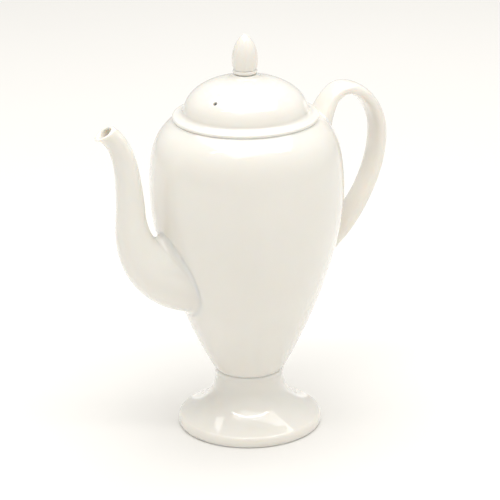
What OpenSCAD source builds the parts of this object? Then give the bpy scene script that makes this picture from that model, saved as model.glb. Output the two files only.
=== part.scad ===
// Footed porcelain coffee pot with a loose domed lid.
// The z axis is the pot's own axis and z = 0 is the table. The spout points along -x and the handle along +x.
// Every piece is cast or moulded clay. The pieces are stuck together with slip, then fired as one pot and
// one lid.

/* [Body] */
// Outer radius of the belly at its widest
belly_r = 61.6; // [59:0.1:64]
// Height of the belly's widest part
belly_z = 160; // [154:1:165]
// Height of the top edge, where the lid rests
seat_z = 206.2; // [204:0.1:208]
// Outer radius of the top edge
seat_r = 45.7; // [44:0.1:46]
// Radius of the mouth, inside the top edge
mouth_r = 37.5; // [36.5:0.1:38]
// Thickness of the cast walls
wall = 3.2; // [2.6:0.1:3.6]
// Radius of the port from the belly into the spout
port_r = 11; // [8:0.5:13]
// Height of the port's centre
port_z = 107; // [104:1:110]

/* [Foot] */
// Widest radius of the foot
foot_r = 46.5; // [42:0.1:50]
// Height of the foot's rounded edge
edge_h = 7.2; // [5:0.1:9]
// Radius at the waist, the narrowest part
waist_r = 21.8; // [20:0.1:23]
// Height of the waist
waist_z = 34; // [32:0.5:35]
// Height of the joint between the foot and the body
joint_z = 38.6; // [38:0.1:40]

/* [Lid] */
// Radius of the dome where it leaves the rim
dome_r = 39.4; // [38:0.1:41]
// Height of the dome's curved top
dome_h = 23.5; // [18:0.5:28]
// Radius of the rim that rests on the pot
rim_r = 46.2; // [46:0.1:48]
// Depth of the flange below the rim
flange_depth = 13.4; // [9:0.1:18]
// Outer radius of the flange
flange_r = 36.6; // [35:0.1:36.8]
// Radius of the steam vent
vent_r = 1.25; // [0.8:0.05:2]
// Direction of the steam vent, counted from the handle
vent_turn = 209; // [0:1:359]

/* [Finial] */
// Height of the finial above the dome
finial_h = 25.6; // [22:0.1:30]
// Widest radius of the egg-shaped knob
finial_r = 8.2; // [7:0.1:10]

/* [Spout] */
// Reach of the spout's mouth from the pot's axis
spout_reach = 96; // [92:0.5:100]
// Height of the middle of the spout's mouth
spout_z = 210.5; // [206:0.5:216]
// Radius of the spout at its root
spout_root_r = 23.5; // [20:0.5:25]
// Radius of the spout at its mouth
spout_mouth_r = 6.6; // [6:0.1:7.5]
// How far the pouring lip stands out, as a share of the mouth's radius
lip = 0.2; // [0:0.05:0.4]

/* [Handle] */
// Reach of the handle's centre line from the pot's axis
handle_reach = 93.8; // [90:0.1:100]
// Height of the top of the handle's centre line
handle_z = 216; // [213:0.5:222]
// Width of the strap
strap_w = 19; // [14:0.5:22]
// Thickness of the strap
strap_t = 8.3; // [6.5:0.1:10]

/* [Hidden] */
$fn = 96;
glaze = [0.96, 0.94, 0.90];
// how deep the roots of the spout and handle sink into the body's wall
luting = 0.8;
// how much thicker the bottom is than the walls
bottom_extra = 1.2;
// facet counts of the curved pieces
lower_steps = 12;
upper_steps = 10;
flare_steps = 14;
spout_sides = 32;
spout_steps = 26;
strap_sides = 24;
strap_steps = 46;
// how often a search by halving halves its range
halvings = 16;

// ---- helpers ----

// Point at t on the cubic curve with the four control points p.
function bez(p, t) =
    p[0] * pow(1 - t, 3) + 3 * p[1] * t * pow(1 - t, 2) + 3 * p[2] * t * t * (1 - t) + p[3] * pow(t, 3);

// n + 1 points along one cubic curve.
function bez_points(p, n) = [for (i = [0:n]) bez(p, i / n)];

// Point at u on a chain of cubic curves. u runs from 0 to the number of curves, and may run past either end.
function chain(curves, u) =
    let (k = max(min(floor(u), len(curves) - 1), 0))
    bez(curves[k], u - k);

// Smooth step from 0 at a to 1 at b.
function ease(a, b, x) =
    let (s = min(max((x - a) / (b - a), 0), 1))
    s * s * (3 - 2 * s);

// Points on a quarter of a superellipse with half axes a and b, from the side at 0 degrees to the top at 90.
function dome_arc(a, b, z, power, from, to, n) =
    [for (i = [0:n])
        let (q = from + (to - from) * i / n)
        [a * pow(cos(q), 2 / power), z + b * pow(sin(q), 2 / power)]];

// The outline moved inwards by d, square to itself at each point.
function inset(outline, d) =
    [for (i = [0:len(outline) - 1])
        let (before = outline[max(i - 1, 0)])
        let (after = outline[min(i + 1, len(outline) - 1)])
        let (along = (after - before) / norm(after - before))
        outline[i] + d * [-along[1], along[0]]];

// Faces between two rings of n points that start at points a and b.
function band(a, b, n) =
    [for (i = [0:n - 1])
        let (j = (i + 1) % n)
        each [[a + i, a + j, b + j], [a + i, b + j, b + i]]];

// Middle of a ring of n points.
function middle(ring) = [for (k = [0:2]) [for (p = ring) p[k]] * [for (p = ring) 1] / len(ring)];

// Solid skinned over a list of rings. A closed one runs on from its last ring to its first, as a pipe does;
// an open one has a fan of faces over each end.
module skin(rings, closed) {
    n = len(rings[0]);
    m = len(rings);
    first_mid = m * n;
    last_mid = m * n + 1;
    sides = [for (k = [0:m - 2]) each band(k * n, (k + 1) * n, n)];
    fans = [for (i = [0:n - 1])
        let (j = (i + 1) % n)
        each [[j, i, first_mid], [(m - 1) * n + i, (m - 1) * n + j, last_mid]]];
    mids = closed ? [] : [middle(rings[0]), middle(rings[m - 1])];
    polyhedron(
        points = concat([for (r = rings) each r], mids),
        faces = concat(sides, closed ? band((m - 1) * n, 0, n) : fans),
        convexity = 8
    );
}

// ---- body ----

lower_curve = [[22.6, joint_z + 0.4], [39.6, 69], [belly_r, belly_z - 38], [belly_r, belly_z]];
upper_curve = [
    [belly_r, belly_z],
    [belly_r, belly_z + 31],
    [seat_r + 10.8, seat_z - 9.4],
    [seat_r, seat_z]
];
belly_outline = concat(
    [[21.9, joint_z]],
    bez_points(lower_curve, lower_steps),
    [for (i = [1:upper_steps]) bez(upper_curve, i / upper_steps)]
);
floor_z = joint_z + wall + bottom_extra;
throat_outline = [
    for (p = inset(belly_outline, wall))
        if (p[1] > floor_z + 2 && p[1] < seat_z - 6) p
];

// Outer radius of the body at height z.
belly_at = [for (p = belly_outline) [p[1], p[0]]];
function body_r(z) = lookup(z, belly_at);

module pot_body() {
    inside = concat(
        [[0, floor_z], [throat_outline[0][0] - 5, floor_z]],
        throat_outline,
        [[mouth_r, seat_z - 4], [mouth_r, seat_z]]
    );
    color(glaze)
    difference() {
        rotate_extrude()
            polygon(concat(
                [[0, joint_z]],
                belly_outline,
                [for (i = [0:len(inside) - 1]) inside[len(inside) - 1 - i]]
            ));
        translate([-body_r(port_z) - 10, 0, port_z])
            rotate([0, 90, 0])
                cylinder(r = port_r, h = 26);
    }
}

// ---- foot ----

flare_curve = [
    [foot_r - 1.9, edge_h],
    [foot_r - 11, edge_h + 3.2],
    [waist_r + 0.4, waist_z - 16],
    [waist_r, waist_z]
];
flare = bez_points(flare_curve, flare_steps);
// inner radius of the rest ring
ring_in = foot_r - 6;

module pedestal_foot() {
    outside = concat(
        [
            [foot_r - 1.9, 0],
            [foot_r - 0.6, 1.4],
            [foot_r, edge_h - 3.4],
            [foot_r - 0.2, edge_h - 1.7],
            [foot_r - 0.9, edge_h - 0.5]
        ],
        flare,
        [
            [waist_r + 0.35, joint_z - 3.2],
            [waist_r + 0.5, joint_z - 2],
            [waist_r + 0.3, joint_z - 0.8],
            [waist_r - 0.3, joint_z]
        ]
    );
    hollow = [for (p = inset(flare, wall)) if (p[0] < ring_in - 3) p];
    inside = concat(
        [[ring_in, 0], [ring_in - 0.8, 3]],
        hollow,
        [[waist_r - wall, joint_z]]
    );
    color(glaze)
    rotate_extrude()
        polygon(concat(outside, [for (i = [0:len(inside) - 1]) inside[len(inside) - 1 - i]]));
}

// ---- spout ----

// Centre line and radius together: reach, height, radius.
bend = [80, 158, 9];
spout_curves = [
    [[38, 105.5, spout_root_r - 2], [60, 109, 21.2], [82, 122.5, 11.8], bend],
    [bend, [80.8, 178, 8], [82.2, 203, 6.4], [spout_reach, spout_z, spout_mouth_r]]
];
spout_wall_root = 3.2;
spout_wall_mouth = 2.5;
// how much flatter the mouth lies than a square cut would
mouth_tilt = 28;
// how much the root widens on its upper side where it joins the body
root_swell = 0.3;

// Point on the spout at u along the chain and at angle q round it. Angle 0 is the outer side, where the
// lip is. thin is 0 for the outside and 1 for the bore.
function spout_point(u, q, thin) =
    let (c = chain(spout_curves, u))
    let (d = chain(spout_curves, min(u + 0.01, 2)) - chain(spout_curves, min(u + 0.01, 2) - 0.01))
    let (a = atan2(d[1], d[0]) - 90 + mouth_tilt * ease(1.4, 2, u))
    let (w = thin * (spout_wall_root + (spout_wall_mouth - spout_wall_root) * u / 2))
    let (lip_pull = lip * ease(1.6, 2, u) * pow(max(cos(q), 0), 4))
    let (root_pull = root_swell * (1 - ease(0.1, 0.8, u)) * pow((1 - cos(q)) / 2, 2))
    let (r = (c[2] - w) * (1 + lip_pull + root_pull))
    [-(c[0] + r * cos(q) * cos(a)), r * sin(q), c[1] + r * cos(q) * sin(a)];

// How far a point lies outside the body's surface, less the luting depth.
function outside_body(p) = norm([p[0], p[1]]) - body_r(p[2]) + luting;

// Where the line at angle q round the spout leaves the body, by halving.
function spout_start(q, thin, lo = -0.4, hi = 1, n = halvings) =
    let (mid = (lo + hi) / 2)
    n == 0 ? mid
    : outside_body(spout_point(mid, q, thin)) > 0 ? spout_start(q, thin, lo, mid, n - 1)
    : spout_start(q, thin, mid, hi, n - 1);

module spout() {
    turns = [for (i = [0:spout_sides - 1]) i * 360 / spout_sides];
    start_out = [for (q = turns) spout_start(q, 0)];
    start_in = [for (q = turns) spout_start(q, 1)];
    rings_out = [for (k = [0:spout_steps])
        [for (i = [0:spout_sides - 1])
            spout_point(start_out[i] + (2 - start_out[i]) * k / spout_steps, turns[i], 0)]];
    rings_in = [for (k = [0:spout_steps])
        [for (i = [0:spout_sides - 1])
            spout_point(2 - (2 - start_in[i]) * k / spout_steps, turns[i], 1)]];
    color(glaze)
    skin(concat(rings_out, rings_in), true);
}

// ---- handle ----

top = [69.5, handle_z];
far = [handle_reach, handle_z - 32];
handle_curves = [
    [[52, 194], [54.5, 206], [61, handle_z], top],
    [top, [81, handle_z], [handle_reach, handle_z - 15], far],
    [far, [handle_reach, handle_z - 56], [80, 130], [50, 110.5]]
];
strap_power = 2.4;
root_flare = 0.22;

// Point on the strap at u along the chain and at angle q round it.
function strap_point(u, q) =
    let (c = chain(handle_curves, u))
    let (b = min(u + 0.01, 3))
    let (d = chain(handle_curves, b) - chain(handle_curves, b - 0.01))
    let (n = [-d[1], d[0]] / norm(d))
    let (s = 1 + root_flare * (1 - ease(0.1, 0.6, u) + ease(2.45, 2.95, u)))
    let (t = s * strap_t / 2 * sign(cos(q)) * pow(abs(cos(q)), 2 / strap_power))
    let (w = s * strap_w / 2 * sign(sin(q)) * pow(abs(sin(q)), 2 / strap_power))
    [c[0] + n[0] * t, w, c[1] + n[1] * t];

// Where the line at angle q along the strap crosses the body's surface, by halving.
function strap_end(q, inner, outer, n = halvings) =
    let (mid = (inner + outer) / 2)
    n == 0 ? mid
    : outside_body(strap_point(mid, q)) > 0 ? strap_end(q, inner, mid, n - 1)
    : strap_end(q, mid, outer, n - 1);

module handle() {
    turns = [for (i = [0:strap_sides - 1]) i * 360 / strap_sides];
    first = [for (q = turns) strap_end(q, 0, 0.8)];
    last = [for (q = turns) strap_end(q, 3, 2.3)];
    color(glaze)
    skin([for (k = [0:strap_steps])
        [for (i = [0:strap_sides - 1])
            strap_point(first[i] + (last[i] - first[i]) * k / strap_steps, turns[i])]], false);
}

// ---- lid ----

dome_z = seat_z + 2.8;
dome_power = 2.15;
dome_steps = 16;
land_r = 8.2;
land_z = dome_z + dome_h + 1.9;
boss_r = 13;
bell_wall = 3.8;
bell_in = flange_r - 3;

module lid_bell() {
    vent_lean = 40;
    vent_at = 32;
    cove = [
        [rim_r - 1.4, seat_z + 2.6],
        [dome_r + 2.2, seat_z + 3],
        [dome_r, dome_z + 1],
        [dome_r, dome_z + 3]
    ];
    boss = [
        [boss_r, land_z - 2.9],
        [boss_r - 2.2, land_z - 2.5],
        [land_r + 0.7, land_z - 1.8],
        [land_r, land_z]
    ];
    outside = concat(
        [[rim_r - 0.8, seat_z], [rim_r, seat_z + 1.1], [rim_r - 0.3, seat_z + 2.1]],
        bez_points(cove, 8),
        [for (p = dome_arc(dome_r, dome_h, dome_z, dome_power, 14, 88, dome_steps))
            if (p[1] > dome_z + 3.4 && p[0] > boss_r + 0.6) p],
        bez_points(boss, 5),
        [[0, land_z]]
    );
    inside = concat(
        [[bell_in, seat_z]],
        dome_arc(dome_r - bell_wall, dome_h - 3, dome_z, dome_power, 4, 86, dome_steps),
        [[0, dome_z + dome_h - 3]]
    );
    color(glaze)
    difference() {
        rotate_extrude()
            polygon(concat(outside, [for (i = [0:len(inside) - 1]) inside[len(inside) - 1 - i]]));
        rotate([0, 0, vent_turn])
            translate([vent_at, 0, dome_z + 13.5])
                rotate([0, vent_lean, 0])
                    translate([0, 0, -7])
                        cylinder(r = vent_r, h = 14, $fn = 32);
    }
}

module lid_flange() {
    tip = seat_z - flange_depth;
    color(glaze)
    rotate_extrude()
        polygon([
            [bell_in, seat_z],
            [flange_r, seat_z],
            [flange_r - 0.2, tip + 1.5],
            [flange_r - 0.9, tip],
            [bell_in + 0.9, tip],
            [bell_in + 0.2, tip + 1.5]
        ]);
}

module finial() {
    neck_r = finial_r - 1.2;
    egg_low_r = finial_r - 1.4;
    bead_r = finial_r - 0.4;
    bead_z = land_z + 1.8;
    bead_half = 1.1;
    egg_z = land_z + 9.6;
    egg_low = bead_z + 1.3;
    egg_h = finial_h - 9.6;
    bead = [for (q = [-75:25:75]) [bead_r - 0.9 + 0.9 * cos(q), bead_z + bead_half * sin(q)]];
    lower = [for (q = [10:16:90]) [
        egg_low_r + (finial_r - egg_low_r) * sin(q),
        egg_z - (egg_z - egg_low) * cos(q)
    ]];
    upper = [for (s = [0.08:0.08:0.93]) [finial_r * pow(1 - pow(s, 1.8), 0.7), egg_z + egg_h * s]];
    color(glaze)
    rotate_extrude()
        polygon(concat(
            [[0, land_z], [neck_r, land_z]],
            bead,
            lower,
            upper,
            [[finial_r * 0.17, egg_z + egg_h * 0.98], [0, egg_z + egg_h]]
        ));
}

pot_body();
pedestal_foot();
spout();
handle();
lid_bell();
lid_flange();
finial();
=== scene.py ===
from math import atan2, cos, floor, hypot, pi, radians, sin, sqrt

import bpy
from mathutils import Matrix, Vector


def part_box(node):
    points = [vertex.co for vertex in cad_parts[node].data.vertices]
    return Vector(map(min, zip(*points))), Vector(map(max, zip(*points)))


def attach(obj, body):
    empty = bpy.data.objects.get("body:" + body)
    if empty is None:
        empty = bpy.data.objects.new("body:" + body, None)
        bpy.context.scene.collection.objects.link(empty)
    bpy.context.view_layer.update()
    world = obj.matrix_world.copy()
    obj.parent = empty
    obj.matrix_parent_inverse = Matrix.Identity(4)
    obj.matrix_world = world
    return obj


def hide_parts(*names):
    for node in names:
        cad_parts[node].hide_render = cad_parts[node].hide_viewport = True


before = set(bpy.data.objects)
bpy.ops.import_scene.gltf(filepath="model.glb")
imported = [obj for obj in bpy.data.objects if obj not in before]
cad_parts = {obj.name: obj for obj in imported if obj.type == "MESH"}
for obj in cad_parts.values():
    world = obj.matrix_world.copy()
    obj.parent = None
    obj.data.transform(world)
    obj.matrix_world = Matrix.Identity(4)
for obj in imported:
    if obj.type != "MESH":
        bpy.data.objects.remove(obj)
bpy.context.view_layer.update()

MM = 0.001
SIDES = 192  # faces round a turned piece; a quarter turn of the lid maps it onto itself


# ---- curves ----

def add(p, q, scale=1.0):
    """p + scale * q, for points of any number of coordinates."""
    return tuple(a + scale * b for a, b in zip(p, q))


def bezier(points, t):
    """The point at t on the cubic curve with four control points, each of any number of coordinates."""
    weights = ((1 - t) ** 3, 3 * t * (1 - t) ** 2, 3 * t * t * (1 - t), t ** 3)
    return tuple(sum(w * p[k] for w, p in zip(weights, points)) for k in range(len(points[0])))


def bezier_points(points, count):
    """count + 1 points along a cubic curve."""
    return [bezier(points, i / count) for i in range(count + 1)]


def chain(curves, u):
    """The point at u on a chain of cubic curves. u may run past either end."""
    k = max(min(floor(u), len(curves) - 1), 0)
    return bezier(curves[k], u - k)


def ease(a, b, x):
    """A smooth step from 0 at a to 1 at b."""
    s = min(max((x - a) / (b - a), 0), 1)
    return s * s * (3 - 2 * s)


def signed_power(x, power):
    """The size of x raised to a power, with the sign of x."""
    return (1 if x > 0 else -1) * abs(x) ** power


def quarter(a, b, z, power, start, end, count):
    """Points along a quarter of a superellipse with half axes a and b, centred at height z.

    start and end are in degrees, from 0 at its side to 90 at its top.
    """
    angles = [radians(start + (end - start) * i / count) for i in range(count + 1)]
    return [(a * cos(q) ** (2 / power), z + b * sin(q) ** (2 / power)) for q in angles]


def inset(outline, distance):
    """The outline moved inwards, square to itself at each point."""
    moved = []
    for i, point in enumerate(outline):
        before, after = outline[max(i - 1, 0)], outline[min(i + 1, len(outline) - 1)]
        dr, dz = after[0] - before[0], after[1] - before[1]
        size = hypot(dr, dz)
        moved.append((point[0] - distance * dz / size, point[1] + distance * dr / size))
    return moved


def rounded(corners):
    """An outline through (radius, height, rounding) corners, each cut back by its rounding and curved."""
    steps = 6
    outline = []
    for i, (r, z, size) in enumerate(corners):
        if size == 0:
            outline.append((r, z))
            continue
        ends = []
        for other in (corners[i - 1], corners[(i + 1) % len(corners)]):
            dr, dz = other[0] - r, other[1] - z
            share = size / hypot(dr, dz)
            ends.append((r + dr * share, z + dz * share))
        for k in range(steps + 1):
            t = k / steps
            outline.append(tuple(
                (1 - t) ** 2 * a + 2 * t * (1 - t) * m + t * t * b
                for a, m, b in zip(ends[0], (r, z), ends[1])
            ))
    return outline


def filled_in(outline, longest):
    """The closed outline with points added so that no stretch is longer than longest."""
    points = []
    for i, p in enumerate(outline):
        q = outline[(i + 1) % len(outline)]
        pieces = max(1, round(hypot(q[0] - p[0], q[1] - p[1]) / longest))
        points += [add(p, (q[0] - p[0], q[1] - p[1]), k / pieces) for k in range(pieces)]
    return points


# ---- meshes ----

def make_object(name, points, faces, body, cad_node, slot):
    """A smooth-shaded object in metres that rides on a body and replaces its CAD node."""
    mesh = bpy.data.meshes.new(name)
    mesh.from_pydata([tuple(c * MM for c in p) for p in points], [], faces)
    mesh.validate()
    mesh.shade_smooth()
    piece = bpy.data.objects.new(name, mesh)
    bpy.context.scene.collection.objects.link(piece)
    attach(piece, body)
    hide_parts(cad_node)
    return piece


def turned(outline, sides=SIDES):
    """Points and faces of a closed outline of (radius, height) points turned round the z axis."""
    points, rings = [], []
    for r, z in outline:
        if r < 1e-6:
            rings.append([len(points)])
            points.append((0, 0, z))
            continue
        rings.append(list(range(len(points), len(points) + sides)))
        points += [(r * cos(2 * pi * k / sides), r * sin(2 * pi * k / sides), z) for k in range(sides)]
    faces = []
    for low, high in zip(rings, rings[1:] + rings[:1]):
        for k in range(sides):
            n = (k + 1) % sides
            if len(low) > 1 and len(high) > 1:
                faces.append((low[k], low[n], high[n], high[k]))
            elif len(low) > 1:
                faces.append((low[k], low[n], high[0]))
            elif len(high) > 1:
                faces.append((low[0], high[n], high[k]))
    return points, faces


def skinned(rings, closed):
    """Points and faces of a skin over rings of points. A closed one joins its last ring to its first."""
    sides = len(rings[0])
    points = [p for ring in rings for p in ring]
    pairs = [(k, k + 1) for k in range(len(rings) - 1)] + ([(len(rings) - 1, 0)] if closed else [])
    faces = [
        (a * sides + k, b * sides + k, b * sides + (k + 1) % sides, a * sides + (k + 1) % sides)
        for a, b in pairs
        for k in range(sides)
    ]
    if not closed:
        for ring, first in ((0, True), (len(rings) - 1, False)):
            middle = len(points)
            points.append(tuple(sum(c) / sides for c in zip(*rings[ring])))
            for k in range(sides):
                a, b = ring * sides + k, ring * sides + (k + 1) % sides
                faces.append((a, b, middle) if first else (b, a, middle))
    return points, faces


def cut(piece, points, faces):
    """Takes a closed shape out of a piece."""
    mesh = bpy.data.meshes.new("cutter")
    mesh.from_pydata([tuple(c * MM for c in p) for p in points], [], faces)
    mesh.shade_smooth()
    cutter = bpy.data.objects.new("cutter", mesh)
    bpy.context.scene.collection.objects.link(cutter)
    boolean = piece.modifiers.new("cut", "BOOLEAN")
    boolean.operation = "DIFFERENCE"
    boolean.solver = "EXACT"
    boolean.object = cutter
    bpy.context.view_layer.update()
    graph = bpy.context.evaluated_depsgraph_get()
    result = bpy.data.meshes.new_from_object(piece.evaluated_get(graph))
    piece.modifiers.remove(boolean)
    piece.data = result
    bpy.data.objects.remove(cutter)


def placed(points, matrix):
    """The points moved by a matrix."""
    return [tuple(matrix @ Vector(p)) for p in points]


# ---- driving sizes, from the frame ----

def reach(node, axis, high=True):
    """How far a node reaches along an axis, in millimetres."""
    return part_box(node)[1 if high else 0][axis] / MM


JOINT_Z = reach("pot_body", 2, high=False)
SEAT_Z = reach("pot_body", 2)
BELLY_R = reach("pot_body", 1)
FOOT_R = reach("pedestal_foot", 1)
RIM_R = reach("lid_bell", 1)
LAND_Z = reach("lid_bell", 2)
FLANGE_R = reach("lid_flange", 1)
FLANGE_TIP = reach("lid_flange", 2, high=False)
FINIAL_R = reach("finial", 1)
FINIAL_Z = reach("finial", 2)

SEAT_R = 45.7  # outer edge of the flat seat round the mouth
MOUTH_R = 37.5
WALL = 3.2
BOTTOM = 4.4  # thickness of the body's bottom
BELLY_Z = 160  # height of the widest part
PORT_R = 11  # the hole from the body into the spout
PORT_Z = 107


# ---- body ----

# Control points of the outside, below and above the widest part
LOWER = [(22.6, JOINT_Z + 0.4), (39.6, 69), (BELLY_R, BELLY_Z - 38), (BELLY_R, BELLY_Z)]
UPPER = [(BELLY_R, BELLY_Z), (BELLY_R, BELLY_Z + 31), (SEAT_R + 10.8, SEAT_Z - 9.4), (SEAT_R, SEAT_Z)]
BELLY = bezier_points(LOWER, 60) + bezier_points(UPPER, 50)[1:]


def body_r(z):
    """Outer radius of the body at height z."""
    for (r0, z0), (r1, z1) in zip(BELLY, BELLY[1:]):
        if z0 <= z <= z1:
            return r0 + (r1 - r0) * (z - z0) / (z1 - z0)
    return BELLY[0][0] if z < BELLY[0][1] else BELLY[-1][0]


def make_body():
    bottom_r, floor_z = 22.0, JOINT_Z + BOTTOM
    edge_low, edge_high = 0.9, 0.7  # how much of the outside the rounded edges take up
    turn_low, turn_high = 5, 6  # how much of the inside the bends at its ends take up
    lip_depth = 4.5
    outside = [p for p in BELLY if JOINT_Z + edge_low < p[1] < SEAT_Z - edge_high]
    inside = [p for p in inset(BELLY, WALL) if floor_z + turn_low < p[1] < SEAT_Z - turn_high]
    low = inside[0]
    corners = [
        (MOUTH_R, SEAT_Z - lip_depth, 1.2),
        (MOUTH_R, SEAT_Z, 1.0),
        (SEAT_R, SEAT_Z, 0.35),
    ]
    top = rounded([(inside[-1][0], inside[-1][1], 0)] + corners + [(outside[-1][0], outside[-1][1], 0)])
    bottom = rounded([
        (bottom_r + 0.7, JOINT_Z + edge_low, 0),
        (bottom_r, JOINT_Z, 0.3),
        (0, JOINT_Z, 0),
        (0, floor_z, 0),
        (low[0] - 3.5, floor_z, 3.2),
        (low[0], low[1], 0),
    ])
    outline = filled_in(outside + top[::-1] + inside[::-1] + bottom[::-1], 4)
    body = make_object("glazed_body", *turned(outline), "pot", "pot_body", "body_glaze")
    drill = 14  # half its length
    points, faces = turned([(0, -drill), (PORT_R, -drill), (PORT_R, drill), (0, drill)], 64)
    wall_x = -body_r(PORT_Z) + WALL / 2
    side_on = Matrix.Translation((wall_x, 0, PORT_Z)) @ Matrix.Rotation(pi / 2, 4, "Y")
    cut(body, placed(points, side_on), faces)
    return body


# ---- foot ----

def make_foot():
    waist_r, waist_z, edge_h, rest_r = 21.8, 34, 7.2, 44.7
    flare = [
        (FOOT_R - 1.9, edge_h),
        (FOOT_R - 11, edge_h + 3.2),
        (waist_r + 0.4, waist_z - 16),
        (waist_r, waist_z),
    ]
    edge = bezier_points([(rest_r, 0), (47.0, 0.3), (47.0, 6.2), (44.6, edge_h)], 16)
    edge = [(min(r, FOOT_R), z) for r, z in edge]
    bead = bezier_points([
        (waist_r, waist_z), (waist_r + 0.1, waist_z + 1.6), (waist_r + 1, waist_z + 3), (waist_r, JOINT_Z),
    ], 10)
    ring_in = FOOT_R - 6
    hollow = [p for p in inset(bezier_points(flare, 40), WALL) if p[0] < ring_in - 3]
    under = rounded([
        (rest_r, 0, 0), (ring_in + 0.2, 0, 0.6), (ring_in - 0.8, 3, 1.5), (hollow[0][0], hollow[0][1], 0),
    ])[1:-1]
    outline = edge + bezier_points(flare, 40)[1:] + bead[1:]
    outline += [(waist_r - WALL, JOINT_Z)] + hollow[::-1] + under[::-1]
    return make_object("glazed_foot", *turned(filled_in(outline, 3)), "pot", "pedestal_foot", "foot_glaze")


# ---- roots of the spout and handle ----

def over_body(p):
    """How far a point lies outside the body's surface."""
    return hypot(p[0], p[1]) - body_r(p[2])


def crossing(line, inner, outer):
    """Where line(u) crosses the body's surface between u = inner, in the body, and u = outer, outside it."""
    for _ in range(30):
        mid = (inner + outer) / 2
        if over_body(line(mid)) > 0:
            outer = mid
        else:
            inner = mid
    return (inner + outer) / 2


def on_body(p, sink):
    """The point moved straight in or out to sit sink below the body's surface."""
    share = (body_r(p[2]) - sink) / hypot(p[0], p[1])
    return (p[0] * share, p[1] * share, p[2])


def body_normal(p):
    """The direction square to the body's surface at a point on it."""
    step = 0.2
    slope = (body_r(p[2] + step) - body_r(p[2] - step)) / (2 * step)
    return Vector((p[0], p[1], -slope * hypot(p[0], p[1]))).normalized()


def outwards(line, u, distance):
    """The change in u that moves the distance along the line."""
    step = 0.02
    return distance * step / (Vector(line(u + step)) - Vector(line(u))).length


def luted_root(line, u_end, u_step, centre, size, fill=0):
    """Points that bend from the line onto the body, like slip wiped round a joint.

    The line meets the body at u_end, and u_step is the change in u that goes size outwards along it.
    The points run from the body's surface, sunk a little, out to the line. fill goes from 0, a hollow
    bend, to 1, a straight one.
    """
    steps = 8
    sunk, buried_by, past = 0.05, 0.5, 1.12
    corner = line(u_end)
    away = Vector(corner) - Vector(centre)
    normal = body_normal(corner)
    away = (away - normal * away.dot(normal)).normalized()
    skirt = on_body(add(corner, away, size), sunk)
    buried = on_body(add(corner, away, size * past), buried_by)
    joined = line(u_end + u_step)
    corner = add(corner, add(add(skirt, joined), corner, -2), fill / 2)
    points = [buried]
    for k in range(steps + 1):
        t = k / steps
        points.append(tuple(
            (1 - t) ** 2 * a + 2 * t * (1 - t) * m + t * t * b for a, m, b in zip(skirt, corner, joined)
        ))
    return points


# ---- spout ----

# Centre line and radius together: reach, height, radius
BEND = (80, 158, 9)
SPOUT = [
    [(38, 105.5, 21.5), (60, 109, 21.2), (82, 122.5, 11.8), BEND],
    [BEND, (80.8, 178, 8), (82.2, 203, 6.4), (96, 210.5, 6.6)],
]
MOUTH_U = len(SPOUT)  # where the spout's centre line ends
SPOUT_SIDES = 72
SPOUT_STEPS = 96
STEP = 0.01  # the change in u that a centre line's direction is worked out over


def spout_point(u, q, skin):
    """A point on the spout at u and at angle q round it. skin is 0 on the outside and 1 in the bore."""
    mouth_tilt, lip, root_swell, thinning = 28, 0.2, 0.3, 0.35
    c = chain(SPOUT, u)
    end = min(u + STEP, MOUTH_U)
    d = add(chain(SPOUT, end), chain(SPOUT, end - STEP), -1)
    a = atan2(d[1], d[0]) - pi / 2 + radians(mouth_tilt) * ease(1.4, MOUTH_U, u)
    wall = WALL - thinning * min(u, MOUTH_U)
    swell = lip * ease(1.6, MOUTH_U, u) * max(cos(q), 0) ** 4
    swell += root_swell * (1 - ease(0.1, 0.8, u)) * ((1 - cos(q)) / 2) ** 2
    r = (c[2] - wall * skin) * (1 + swell)
    return (-(c[0] + r * cos(q) * cos(a)), r * sin(q), c[1] + r * cos(q) * sin(a))


def make_spout():
    rim_u, rim_steps = 0.028, 8
    least, at_crook, at_far = 1.0, 6.5, 3.5  # fillet size: all round, above the root, and under it
    crook_fill = 0.3
    start_u, bore_overlap = -0.4, 0.03
    lines = []
    for i in range(SPOUT_SIDES):
        q = 2 * pi * i / SPOUT_SIDES

        def outer(u):
            return spout_point(u, q, 0)

        u_end = crossing(outer, start_u, 1)
        size = least + at_crook * max(-cos(q), 0) ** 1.5 + at_far * ((1 + cos(q)) / 2) ** 1.5
        fill = crook_fill * ease(0.05, 0.6, -cos(q))
        u_step = outwards(outer, u_end, size)
        centre = chain(SPOUT, u_end)
        line = luted_root(outer, u_end, u_step, (-centre[0], 0, centre[1]), size, fill)
        first, last = u_end + u_step, MOUTH_U - rim_u
        line += [outer(first + (last - first) * k / SPOUT_STEPS) for k in range(1, SPOUT_STEPS)]
        for k in range(2 * rim_steps + 1):
            turn = pi * k / (2 * rim_steps)
            line.append(spout_point(MOUTH_U - rim_u * (1 - sin(turn)), q, (1 - cos(turn)) / 2))
        bore_end = crossing(lambda u: spout_point(u, q, 1), start_u, 1) - bore_overlap
        line += [
            spout_point(last + (bore_end - last) * k / SPOUT_STEPS, q, 1) for k in range(1, SPOUT_STEPS + 1)
        ]
        lines.append(line)
    rings = [[line[k] for line in lines] for k in range(len(lines[0]))]
    return make_object("glazed_spout", *skinned(rings, True), "pot", "spout", "spout_glaze")


# ---- handle ----

# Centre line: reach, height
TOP = (69.5, 216)
FAR = (93.76, 184)
HANDLE = [
    [(52, 194), (54.5, 206), (61, 216), TOP],
    [TOP, (81, 216), (93.8, 201), FAR],
    [FAR, (93.8, 160), (80, 130), (50, 110.5)],
]
STRAP_W = 19
STRAP_T = 8.3
STRAP_SIDES = 64
STRAP_STEPS = 150


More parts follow.
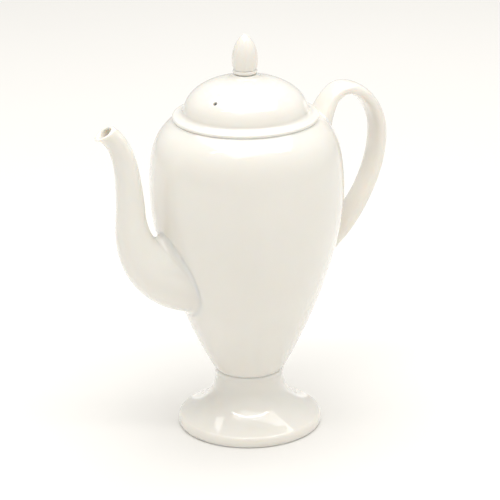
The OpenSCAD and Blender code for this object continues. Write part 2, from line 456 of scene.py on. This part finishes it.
def strap_point(u, q):
    """A point on the strap at u along the handle and at angle q round it."""
    power, flare = 2.4, 0.22
    c = chain(HANDLE, u)
    end = min(u + STEP, len(HANDLE))
    d = add(chain(HANDLE, end), chain(HANDLE, end - STEP), -1)
    size = hypot(*d)
    n = (-d[1] / size, d[0] / size)
    swell = 1 + flare * (1 - ease(0.1, 0.6, u) + ease(2.45, 2.95, u))
    t = swell * STRAP_T / 2 * signed_power(cos(q), 2 / power)
    w = swell * STRAP_W / 2 * signed_power(sin(q), 2 / power)
    return (c[0] + n[0] * t, w, c[1] + n[1] * t)


def make_handle():
    lines = []
    for i in range(STRAP_SIDES):
        q = 2 * pi * (i + 0.5) / STRAP_SIDES

        def along(u):
            return strap_point(u, q)

        ends = []
        for inner, outer, size in ((0, 0.8, 2.2), (3, 2.3, 2.6)):
            u_end = crossing(along, inner, outer)
            u_step = outwards(along, u_end, size if outer > inner else -size)
            c = chain(HANDLE, u_end)
            ends.append((luted_root(along, u_end, u_step, (c[0], 0, c[1]), size), u_end + u_step))
        (root, first), (tail, last) = ends
        line = root + [along(first + (last - first) * k / STRAP_STEPS) for k in range(1, STRAP_STEPS)]
        lines.append(line + tail[::-1])
    rings = [[line[k] for line in lines] for k in range(len(lines[0]))]
    return make_object("glazed_handle", *skinned(rings, False), "pot", "handle", "handle_glaze")


# ---- lid ----

DOME_Z = SEAT_Z + 2.8  # where the dome springs from the rim
DOME_R = 39.4
DOME_H = 23.5
DOME_POWER = 2.15  # of its superellipse; 2 would be round
BELL_IN = FLANGE_R - 3


def make_bell():
    side, crown = 3.8, 3  # thickness of the dome
    boss_r = 8.0
    rim_top = (RIM_R - 1.4, SEAT_Z + 2.6)
    rim = bezier_points([
        (RIM_R - 0.7, SEAT_Z), (RIM_R + 0.1, SEAT_Z + 0.2), (RIM_R + 0.5, SEAT_Z + 2.3), rim_top,
    ], 14)
    rim = [(min(r, RIM_R), z) for r, z in rim]
    cove = bezier_points([
        rim_top, (DOME_R + 2.2, SEAT_Z + 2.9), (DOME_R, DOME_Z + 0.8), (DOME_R, DOME_Z + 3.4),
    ], 16)
    arc = quarter(DOME_R, DOME_H, DOME_Z, DOME_POWER, 12, 89, 90)
    dome = [p for p in arc if p[1] > DOME_Z + 3.8 and p[0] > 13.4]
    boss = bezier_points([
        (boss_r + 4.9, LAND_Z - 2.9),
        (boss_r + 2.6, LAND_Z - 2.5),
        (boss_r + 0.6, LAND_Z - 1.8),
        (boss_r, LAND_Z - 0.2),
    ], 10)
    inner = quarter(DOME_R - side, DOME_H - crown, DOME_Z, DOME_POWER, 4, 88, 60)
    outline = rim + cove[1:] + dome + boss
    outline += [(boss_r - 0.4, LAND_Z), (0, LAND_Z), (0, DOME_Z + DOME_H - crown)]
    outline += inner[::-1] + [(BELL_IN, SEAT_Z)]
    bell = make_object("glazed_lid", *turned(filled_in(outline, 3)), "lid", "lid_bell", "lid_glaze")
    vent_r, vent_out, vent_up = 1.25, 32, 13.5
    vent_turn, vent_tilt = radians(209), radians(40)
    length, flare, flare_h = 8, 0.7, 2.2
    pin = [(0, -length)] + [
        (vent_r + flare * (1 - sqrt(max(1 - min(1, abs(h) / flare_h) ** 2, 0))), h)
        for h in [-length] + [i * 0.25 for i in range(-8, 9)] + [length]
    ] + [(0, length)]
    points, faces = turned(pin, 40)
    tipped = Matrix.Rotation(vent_turn, 4, "Z") @ Matrix.Translation((vent_out, 0, DOME_Z + vent_up))
    tipped = tipped @ Matrix.Rotation(vent_tilt, 4, "Y")
    cut(bell, placed(points, tipped), faces)
    return bell


def make_flange():
    top = SEAT_Z - 0.02  # a hair below the bell, so that the two don't cross as they turn
    corners = [
        (BELL_IN, top, 0),
        (BELL_IN + 0.2, FLANGE_TIP, 1.3),
        (FLANGE_R - 0.2, FLANGE_TIP, 1.3),
        (FLANGE_R, top, 0),
    ]
    outline = filled_in(rounded(corners), 1.5)
    return make_object("glazed_flange", *turned(outline), "lid_ring", "lid_flange", "flange_glaze")


def make_finial():
    neck_r, bead_z, bead_r, egg_low_r = 6.9, LAND_Z + 1.8, FINIAL_R - 0.4, FINIAL_R - 1.4
    egg_z = LAND_Z + 9.6
    egg_h = FINIAL_Z - egg_z
    drop = egg_z - bead_z - 1.25
    bulge = FINIAL_R - egg_low_r
    steps = 60
    bead = [
        (bead_r - 1.1 + 1.1 * cos(radians(q)), bead_z + 1.15 * sin(radians(q))) for q in range(-80, 81, 10)
    ]
    lower = [
        (egg_low_r + bulge * sin(radians(q)), egg_z - drop * cos(radians(q))) for q in range(6, 91, 6)
    ]
    upper = [
        (FINIAL_R * (1 - (k / steps) ** 1.8) ** 0.66, egg_z + egg_h * k / steps) for k in range(1, steps)
    ]
    outline = [(0, LAND_Z), (neck_r - 0.5, LAND_Z), (neck_r, LAND_Z + 0.45)]
    outline += bead + lower + upper + [(0, FINIAL_Z)]
    return make_object("glazed_finial", *turned(outline, 96), "lid", "finial", "finial_glaze")


# ---- materials ----

CLAY = ((0.822, 0.794, 0.74), (0.836, 0.811, 0.76))  # the two ends of its faint clouds
# darker, creamier colour for hollows and creases: partly glaze pooled there, partly painted shade
HOLLOW_POOL_AND_SHADE = (0.80, 0.765, 0.70)
BARE_CLAY = (0.80, 0.775, 0.73)


def node(tree, kind, links=None, **values):
    """Adds a node. values are its settings, and links feeds its inputs from sockets or sets them."""
    made = tree.nodes.new(kind)
    for key, value in values.items():
        setattr(made, key, value)
    for key, value in (links or {}).items():
        if isinstance(value, bpy.types.NodeSocket):
            tree.links.new(value, made.inputs[key])
        else:
            made.inputs[key].default_value = value
    return made


def remap(tree, value, low, high, to_low, to_high):
    """The value mapped from one range onto another, and kept inside it."""
    return node(tree, "ShaderNodeMapRange", {
        "Value": value, "From Min": low, "From Max": high, "To Min": to_low, "To Max": to_high,
    }).outputs["Result"]


def mixed(tree, factor, a, b):
    """A colour between a and b. Each is a socket or a plain colour."""
    mix = node(tree, "ShaderNodeMix", data_type="RGBA")
    tree.links.new(factor, mix.inputs[0])
    for socket, value in ((mix.inputs[6], a), (mix.inputs[7], b)):
        if isinstance(value, bpy.types.NodeSocket):
            tree.links.new(value, socket)
        else:
            socket.default_value = (*value, 1)
    return mix.outputs[2]


def glaze(name, bare_to=None):
    """Clear glaze over warm white bone china. Below the height bare_to, in millimetres, the clay is bare."""
    material = bpy.data.materials.new(name)
    material.use_nodes = True
    tree = material.node_tree
    shader = tree.nodes["Principled BSDF"]
    place = node(tree, "ShaderNodeTexCoord").outputs["Object"]

    def noise(scale, detail=2.0, roughness=0.5):
        return node(tree, "ShaderNodeTexNoise", {
            "Vector": place, "Scale": scale, "Detail": detail, "Roughness": roughness,
        }).outputs["Fac"]

    clouds = remap(tree, noise(24, 3), 0.35, 0.65, 0, 1)
    clay = mixed(tree, clouds, *CLAY)
    # hollow: darkens concave creases by pointiness, as glaze pooled there and as painted shade
    hollow = remap(tree, node(tree, "ShaderNodeNewGeometry").outputs["Pointiness"], 0.44, 0.5, 0.6, 0)
    colour = mixed(tree, hollow, clay, HOLLOW_POOL_AND_SHADE)
    shine = remap(tree, noise(70, 4, 0.6), 0.3, 0.7, 0.05, 0.10)
    waves = node(tree, "ShaderNodeBump", {"Strength": 0.25, "Distance": 0.0004, "Height": noise(38, 1)})
    peel = node(tree, "ShaderNodeBump", {
        "Strength": 0.2, "Distance": 0.00003, "Height": noise(850, 1), "Normal": waves.outputs["Normal"],
    })
    normal = peel.outputs["Normal"]
    shader.inputs["Coat Weight"].default_value = 1.0
    if bare_to is not None:
        height = node(tree, "ShaderNodeSeparateXYZ", {"Vector": place}).outputs["Z"]
        wavering = remap(tree, noise(130, 3), 0.3, 0.7, -0.25 * MM, 0.25 * MM)
        edge = node(tree, "ShaderNodeMath", {0: height, 1: wavering}, operation="ADD").outputs[0]
        bare = remap(tree, edge, bare_to * MM, (bare_to + 0.3) * MM, 1, 0)
        colour = mixed(tree, bare, colour, BARE_CLAY)
        dull = 0.65
        shine = node(tree, "ShaderNodeMix", {0: bare, 2: shine, 3: dull}, data_type="FLOAT").outputs[0]
        glazed = node(tree, "ShaderNodeMath", {0: 1.0, 1: bare}, operation="SUBTRACT").outputs[0]
        tree.links.new(glazed, shader.inputs["Coat Weight"])
    shader.inputs["IOR"].default_value = 1.5
    shader.inputs["Specular IOR Level"].default_value = 0.3
    shader.inputs["Coat Roughness"].default_value = 0.02
    shader.inputs["Subsurface Weight"].default_value = 0.5
    shader.inputs["Subsurface Radius"].default_value = (1.0, 0.8, 0.6)
    shader.inputs["Subsurface Scale"].default_value = 0.004
    tree.links.new(colour, shader.inputs["Base Color"])
    tree.links.new(shine, shader.inputs["Roughness"])
    tree.links.new(normal, shader.inputs["Normal"])
    return material


def paint(piece, material):
    """Gives the whole piece one material."""
    piece.data.materials.clear()
    piece.data.materials.append(material)


china = glaze("china_glaze")
for piece in (make_body(), make_spout(), make_handle(), make_bell(), make_finial()):
    paint(piece, china)
paint(make_foot(), glaze("foot_glaze", bare_to=0.5))
paint(make_flange(), glaze("flange_glaze", bare_to=FLANGE_TIP + 0.6))


# ---- studio ----

CAMERA_TURN = radians(-26)
CAMERA_RISE = radians(19.81)
TOWARDS_CAMERA = Vector((sin(CAMERA_TURN), -cos(CAMERA_TURN), 0))


def make_camera():
    target = Vector((0, 0, 0.130))
    distance = 1.56
    roll = radians(-0.8)
    data = bpy.data.cameras.new("camera")
    data.sensor_width = 36
    data.lens = 176.75
    data.shift_x = 0.0053
    data.shift_y = -0.0364
    camera = bpy.data.objects.new("camera", data)
    away = TOWARDS_CAMERA * cos(CAMERA_RISE) + Vector((0, 0, sin(CAMERA_RISE)))
    camera.location = target + away * distance
    aim = (-away).to_track_quat("-Z", "Y").to_matrix().to_4x4()
    camera.matrix_world = Matrix.Translation(camera.location) @ aim @ Matrix.Rotation(roll, 4, "Z")
    bpy.context.scene.collection.objects.link(camera)
    bpy.context.scene.camera = camera


def make_floor():
    """A wide pale sheet of paper."""
    size = 4.0
    corners = [(-size, -size, 0), (size, -size, 0), (size, size, 0), (-size, size, 0)]
    mesh = bpy.data.meshes.new("floor")
    mesh.from_pydata(corners, [], [(0, 1, 2, 3)])
    floor_sheet = bpy.data.objects.new("floor", mesh)
    bpy.context.scene.collection.objects.link(floor_sheet)
    material = bpy.data.materials.new("floor")
    material.use_nodes = True
    mesh.materials.append(material)
    tree = material.node_tree
    shader = tree.nodes["Principled BSDF"]
    place = node(tree, "ShaderNodeTexCoord").outputs["Object"]
    fibre = node(tree, "ShaderNodeTexNoise", {"Vector": place, "Scale": 3.0, "Detail": 2.0}).outputs["Fac"]
    colour = mixed(tree, fibre, (0.81, 0.80, 0.78), (0.83, 0.82, 0.80))
    tree.links.new(colour, shader.inputs["Base Color"])
    shader.inputs["Roughness"].default_value = 0.9
    shader.inputs["Specular IOR Level"].default_value = 0.1


def make_light(name, place, target, size, power, colour):
    """A soft rectangular light in metres and watts, aimed at a point. The camera doesn't see it."""
    data = bpy.data.lights.new(name, "AREA")
    data.shape = "RECTANGLE"
    data.size, data.size_y = size
    data.energy = power
    data.color = colour
    light = bpy.data.objects.new(name, data)
    bpy.context.scene.collection.objects.link(light)
    place = Vector(place)
    light.location = place
    light.rotation_euler = (Vector(target) - place).to_track_quat("-Z", "Y").to_euler()
    light.visible_camera = False


def make_world():
    """Even warm light, a little brighter near the horizon."""
    world = bpy.data.worlds.new("studio")
    bpy.context.scene.world = world
    world.use_nodes = True
    tree = world.node_tree
    direction = node(tree, "ShaderNodeTexCoord").outputs["Generated"]
    height = node(tree, "ShaderNodeSeparateXYZ", {"Vector": direction}).outputs["Z"]
    rise = remap(tree, height, 0.0, 0.8, 0, 1)
    horizon, overhead = (0.65, 0.64, 0.61), (0.58, 0.575, 0.56)
    sky = mixed(tree, rise, horizon, overhead)
    tree.links.new(sky, tree.nodes["Background"].inputs["Color"])


make_camera()
make_floor()
make_world()
make_light(
    "strip",
    place=TOWARDS_CAMERA * 0.52 + Vector((0, 0, 1.5)),
    target=(0, 0, 0.1),
    size=(1.9, 0.08),
    power=4.7,
    colour=(1.0, 0.985, 0.96),
)
make_light(
    "ceiling",
    place=(0.1, 0, 1.8),
    target=(0.1, 0, 0),
    size=(2.2, 2.2),
    power=32,
    colour=(1.0, 0.99, 0.975),
)
bpy.context.scene.view_settings.view_transform = "Standard"
